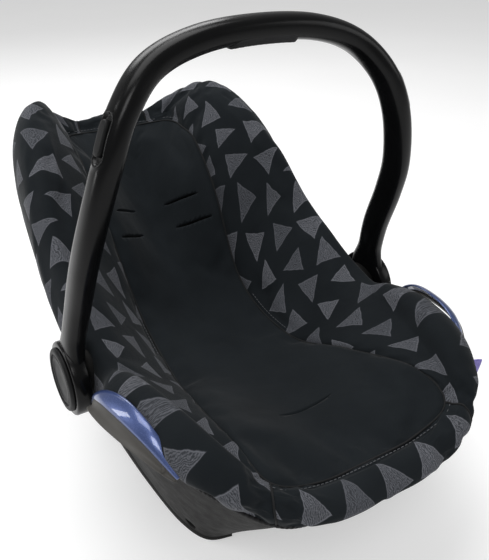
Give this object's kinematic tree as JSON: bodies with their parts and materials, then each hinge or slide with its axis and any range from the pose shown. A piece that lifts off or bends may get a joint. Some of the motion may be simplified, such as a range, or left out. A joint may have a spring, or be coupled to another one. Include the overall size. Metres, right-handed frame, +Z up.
{
  "type": "infant car seat",
  "caption": "Infant carrier car seat: bucket shell with padded fabric cover, swinging carry handle with release buttons, belt guides and docking bars.",
  "frame": {"origin": "centre of the bounding box on the floor the seat stands on", "axes": "+X to the side (the seated baby's left), +Y from the foot end to the head end, +Z up"},
  "size_m": [0.4446, 0.6713, 0.5731],
  "materials": {
    "shell_plastic": "fine grain, satin",
    "black_plastic": "satin gloss",
    "blue_plastic": "metallic blue, glossy",
    "jersey": "plain knit",
    "patterned_fabric": "dark weave with printed grey triangles",
    "elastic": "ribbed elastic tape",
    "foam": "moulded foam",
    "rubber": "matt",
    "steel": "zinc plated",
    "silver_plastic": "silver painted",
    "woven_tape": "woven label, blank"
  },
  "bodies": {
    "seat": {"shell": "shell_plastic", "foam_liner": "foam", "cover_centre": "jersey", "cover_bolster_right": "patterned_fabric", "cover_bolster_left": "patterned_fabric", "cover_foot_band": "patterned_fabric", "cover_head_band": "jersey", "hem_elastic_foot": "elastic", "hem_elastic_head": "elastic", "woven_tag": "woven_tape", "belt_guide_right": "blue_plastic", "belt_guide_left": "blue_plastic", "rear_belt_hook": "blue_plastic", "docking_bar_front": "steel", "docking_bar_rear": "steel", "harness_yoke": "steel", "crotch_anchor": "steel", "adjuster_housing": "black_plastic", "pivot_bolt_right": "steel", "pivot_bolt_left": "steel", "lock_ring_right": "steel", "lock_ring_left": "steel"},
    "handle": {"handle": "black_plastic", "handle_grip": "rubber", "hub_cap_right": "black_plastic", "hub_cap_left": "black_plastic"},
    "handle_button_right": {"handle_button_right": "black_plastic"},
    "handle_button_left": {"handle_button_left": "black_plastic"},
    "lock_pawl_right": {"lock_pawl_right": "steel"},
    "lock_pawl_left": {"lock_pawl_left": "steel"},
    "adapter_release_right": {"adapter_release_right": "silver_plastic"},
    "adapter_release_left": {"adapter_release_left": "silver_plastic"},
    "adjuster_button": {"adjuster_button": "silver_plastic"}
  },
  "joints": [
    {"name": "handle_swing", "type": "hinge", "parent": "seat", "child": "handle", "pos_m": [0, -0.0525, 0.209], "axis": [1, 0, 0], "range_deg": [-40, 45]},
    {"name": "handle_button_right_press", "type": "slide", "parent": "handle", "child": "handle_button_right", "axis": [-0.9208, 0, -0.39], "range_m": [0, 0.004], "stiffness_N_per_m": 500},
    {"name": "lock_pawl_right_lift", "type": "slide", "parent": "handle", "child": "lock_pawl_right", "axis": [0, 0, 1], "range_m": [0, 0.004]},
    {"name": "adapter_release_right_slide", "type": "slide", "parent": "seat", "child": "adapter_release_right", "axis": [0, 0, -1], "range_m": [0, 0.005], "stiffness_N_per_m": 400},
    {"name": "handle_button_left_press", "type": "slide", "parent": "handle", "child": "handle_button_left", "axis": [0.9208, 0, -0.39], "range_m": [0, 0.004], "stiffness_N_per_m": 500},
    {"name": "lock_pawl_left_lift", "type": "slide", "parent": "handle", "child": "lock_pawl_left", "axis": [0, 0, 1], "range_m": [0, 0.004]},
    {"name": "adapter_release_left_slide", "type": "slide", "parent": "seat", "child": "adapter_release_left", "axis": [0, 0, -1], "range_m": [0, 0.005], "stiffness_N_per_m": 400},
    {"name": "adjuster_button_press", "type": "slide", "parent": "seat", "child": "adjuster_button", "axis": [0, -0.1552, -0.9879], "range_m": [0, 0.003], "stiffness_N_per_m": 600}
  ],
  "couplings": [
    {"joint": "lock_pawl_right_lift", "follows": "handle_button_right_press", "ratio": 1},
    {"joint": "lock_pawl_left_lift", "follows": "handle_button_left_press", "ratio": 1}
  ]
}
